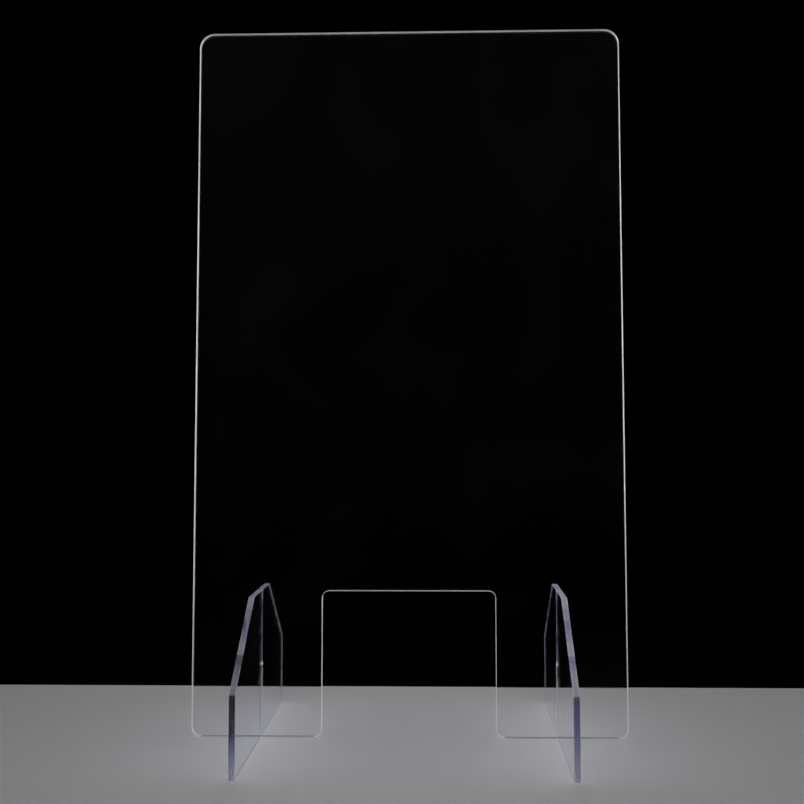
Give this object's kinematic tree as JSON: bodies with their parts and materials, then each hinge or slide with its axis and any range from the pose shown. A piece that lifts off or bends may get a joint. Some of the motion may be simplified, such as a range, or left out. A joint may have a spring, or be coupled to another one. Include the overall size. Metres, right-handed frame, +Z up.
{
  "type": "sneeze guard",
  "caption": "Free-standing clear acrylic counter shield: an upright panel with rounded corners and a serving window at the counter, slotted into two hexagonal feet.",
  "frame": {"origin": "on the counter, under the middle of the panel: the centre of the underside of the object's box", "axes": "+Z up along the height of the panel; +X along its width; Y is depth, square to the panel, and the customer stands on the -Y side"},
  "size_m": [0.46, 0.228, 0.76],
  "materials": {
    "panel_acrylic": "clear cast acrylic, polished faces, satin cut edges",
    "foot_acrylic": "clear cast acrylic, polished faces, satin cut edges"
  },
  "bodies": {
    "left_foot": {"left_foot": "foot_acrylic"},
    "panel": {"shield_panel": "panel_acrylic"},
    "right_foot": {"right_foot": "foot_acrylic"}
  },
  "joints": [
    {"name": "panel_lift", "type": "slide", "parent": "left_foot", "child": "panel", "axis": [0, 0, 1], "range_m": [0, 0.16]},
    {"name": "right_foot_slide", "type": "slide", "parent": "panel", "child": "right_foot", "axis": [0, 0, -1], "range_m": [0, 0.16]}
  ],
  "couplings": [
    {"joint": "right_foot_slide", "follows": "panel_lift", "ratio": 1}
  ]
}
